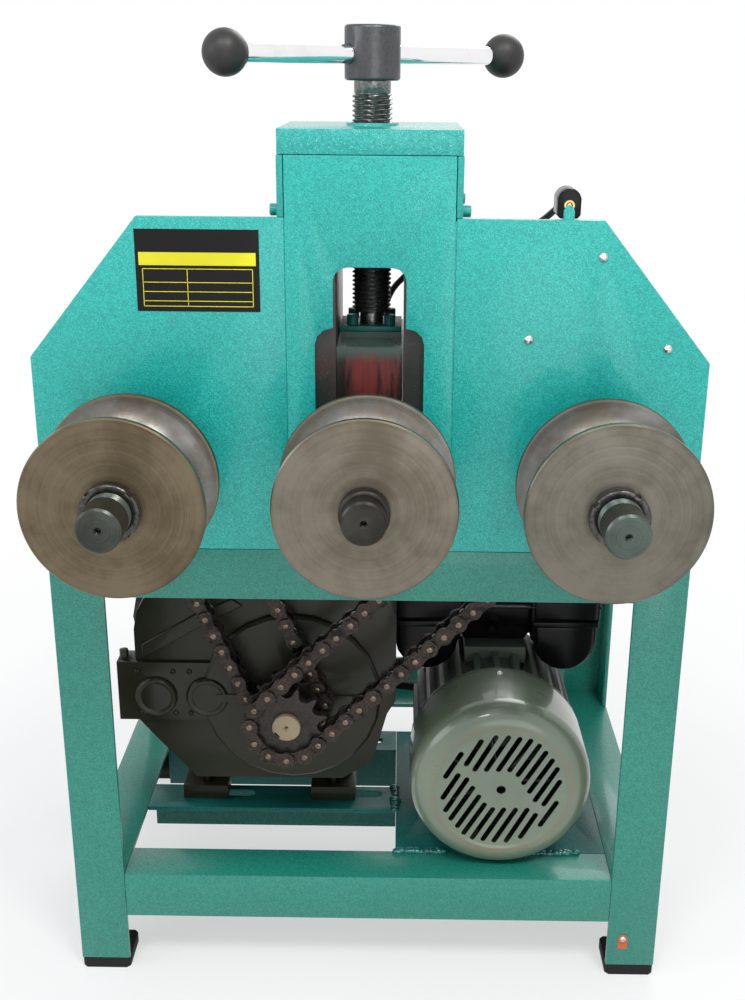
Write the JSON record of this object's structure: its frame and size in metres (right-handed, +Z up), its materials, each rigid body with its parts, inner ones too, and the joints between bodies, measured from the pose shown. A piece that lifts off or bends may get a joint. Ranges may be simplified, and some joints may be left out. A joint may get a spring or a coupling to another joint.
{
  "type": "electric pipe bender",
  "caption": "Floor-standing electric pipe bender: grooved rollers on an angle-iron stand, a screw press with a bar handle, and a motor and gearbox driving the rollers by chains.",
  "frame": {"origin": "on the floor under the middle of the machine's bounding box", "axes": "+Z up, -Y towards the operator and the rollers, +X to the operator's right"},
  "size_m": [0.6, 0.643, 0.9265],
  "materials": {
    "front_left_leg": "hammertone paint",
    "front_right_leg": "hammertone paint",
    "rear_left_leg": "hammertone paint",
    "rear_right_leg": "hammertone paint",
    "front_sill": "hammertone paint",
    "rear_sill": "hammertone paint",
    "left_sill": "hammertone paint",
    "right_sill": "hammertone paint",
    "front_band": "hammertone paint",
    "rear_top_rail": "hammertone paint",
    "left_top_rail": "hammertone paint",
    "right_top_rail": "hammertone paint",
    "front_cross_angle": "hammertone paint",
    "rear_cross_angle": "hammertone paint",
    "motor_base_plate": "hammertone paint",
    "left_bearing_carrier": "hammertone paint",
    "right_bearing_carrier": "hammertone paint",
    "column_rear_plate": "hammertone paint",
    "left_panel": "hammertone paint",
    "right_panel": "hammertone paint",
    "column_front_plate": "hammertone paint",
    "column_cap": "hammertone paint",
    "screw_retainer": "hammertone paint",
    "front_left_foot": "moulded",
    "front_right_foot": "moulded",
    "rear_left_foot": "moulded",
    "rear_right_foot": "moulded",
    "drive_belt": "moulded",
    "left_guide": "greased",
    "right_guide": "greased",
    "left_ring_nut": "greased",
    "right_ring_nut": "greased",
    "left_sprocket": "greased",
    "right_sprocket": "greased",
    "drive_sprocket": "greased",
    "left_chain": "greased",
    "right_chain": "greased",
    "middle_shaft": "turned, lightly rusted",
    "middle_roller": "turned, lightly rusted",
    "left_shaft": "turned, lightly rusted",
    "left_roller": "turned, lightly rusted",
    "right_shaft": "turned, lightly rusted",
    "right_roller": "turned, lightly rusted",
    "left_front_bearing": "turned, lightly rusted",
    "right_front_bearing": "turned, lightly rusted",
    "drive_shaft": "turned, lightly rusted",
    "gearbox_pulley": "turned, lightly rusted",
    "rotor_shaft": "turned, lightly rusted",
    "lead_screw": "machined",
    "handle_rod": "plated",
    "carriage_block": "red oxide under grease",
    "handle_hub": "blackened",
    "left_ball_knob": "moulded",
    "right_ball_knob": "moulded",
    "gearbox_housing": "cast, dark paint",
    "fan_cover": "grey-green paint",
    "motor_housing": "grey-green paint",
    "terminal_box": "moulded",
    "connector_block": "moulded",
    "motor_cable": "moulded"
  },
  "bodies": {
    "frame": {"front_left_leg": "front_left_leg", "front_right_leg": "front_right_leg", "rear_left_leg": "rear_left_leg", "rear_right_leg": "rear_right_leg", "front_sill": "front_sill", "rear_sill": "rear_sill", "left_sill": "left_sill", "right_sill": "right_sill", "front_band": "front_band", "rear_top_rail": "rear_top_rail", "left_top_rail": "left_top_rail", "right_top_rail": "right_top_rail", "front_cross_angle": "front_cross_angle", "rear_cross_angle": "rear_cross_angle", "motor_base_plate": "motor_base_plate", "left_bearing_carrier": "left_bearing_carrier", "right_bearing_carrier": "right_bearing_carrier", "column_rear_plate": "column_rear_plate", "left_panel": "left_panel", "right_panel": "right_panel", "column_front_plate": "column_front_plate", "column_cap": "column_cap", "front_left_foot": "front_left_foot", "front_right_foot": "front_right_foot", "rear_left_foot": "rear_left_foot", "rear_right_foot": "rear_right_foot", "drive_belt": "drive_belt", "left_guide": "left_guide", "right_guide": "right_guide", "left_chain": "left_chain", "right_chain": "right_chain", "left_front_bearing": "left_front_bearing", "right_front_bearing": "right_front_bearing", "gearbox_housing": "gearbox_housing", "fan_cover": "fan_cover", "motor_housing": "motor_housing", "terminal_box": "terminal_box", "connector_block": "connector_block", "motor_cable": "motor_cable"},
    "carriage": {"carriage_block": "carriage_block", "screw_retainer": "screw_retainer"},
    "press_screw": {"lead_screw": "lead_screw", "handle_hub": "handle_hub", "handle_rod": "handle_rod", "left_ball_knob": "left_ball_knob", "right_ball_knob": "right_ball_knob"},
    "middle_roller_set": {"middle_shaft": "middle_shaft", "middle_roller": "middle_roller"},
    "right_roller_set": {"right_shaft": "right_shaft", "right_roller": "right_roller", "right_ring_nut": "right_ring_nut", "right_sprocket": "right_sprocket"},
    "left_roller_set": {"left_shaft": "left_shaft", "left_roller": "left_roller", "left_ring_nut": "left_ring_nut", "left_sprocket": "left_sprocket"},
    "drive_set": {"drive_shaft": "drive_shaft", "drive_sprocket": "drive_sprocket"},
    "motor_rotor": {"rotor_shaft": "rotor_shaft"},
    "gearbox_input": {"gearbox_pulley": "gearbox_pulley"}
  },
  "joints": [
    {"name": "carriage_slide", "type": "slide", "parent": "frame", "child": "carriage", "axis": [0, 0, 1], "range_m": [-0.0201, 0.1401]},
    {"name": "screw_turn", "type": "hinge", "parent": "carriage", "child": "press_screw", "pos_m": [0, -0.0465, 0.9025], "axis": [0, 0, 1], "range_deg": [-1800, 12600]},
    {"name": "middle_roller_spin", "type": "hinge", "parent": "carriage", "child": "middle_roller_set", "pos_m": [0, -0.2253, 0.5565], "axis": [0, 1, 0], "continuous": true},
    {"name": "right_roller_spin", "type": "hinge", "parent": "frame", "child": "right_roller_set", "pos_m": [0.205, -0.2253, 0.555], "axis": [0, 1, 0], "continuous": true, "deforming": ["right_chain", "left_chain"]},
    {"name": "left_roller_spin", "type": "hinge", "parent": "frame", "child": "left_roller_set", "pos_m": [-0.205, -0.2253, 0.555], "axis": [0, 1, 0], "continuous": true},
    {"name": "drive_shaft_spin", "type": "hinge", "parent": "frame", "child": "drive_set", "pos_m": [-0.08187, -0.0785, 0.27618], "axis": [0, 1, 0], "continuous": true},
    {"name": "motor_spin", "type": "hinge", "parent": "frame", "child": "motor_rotor", "pos_m": [0.1343, 0.1845, 0.2095], "axis": [0, 1, 0], "continuous": true, "deforming": ["drive_belt"]},
    {"name": "gearbox_input_spin", "type": "hinge", "parent": "frame", "child": "gearbox_input", "pos_m": [-0.2234, 0.1845, 0.276], "axis": [0, 1, 0], "continuous": true}
  ],
  "couplings": [
    {"joint": "carriage_slide", "follows": "screw_turn", "m_per_rad": 0.00063662},
    {"joint": "left_roller_spin", "follows": "right_roller_spin", "ratio": 1},
    {"joint": "drive_shaft_spin", "follows": "right_roller_spin", "ratio": 1},
    {"joint": "gearbox_input_spin", "follows": "motor_spin", "ratio": 0.58333}
  ]
}
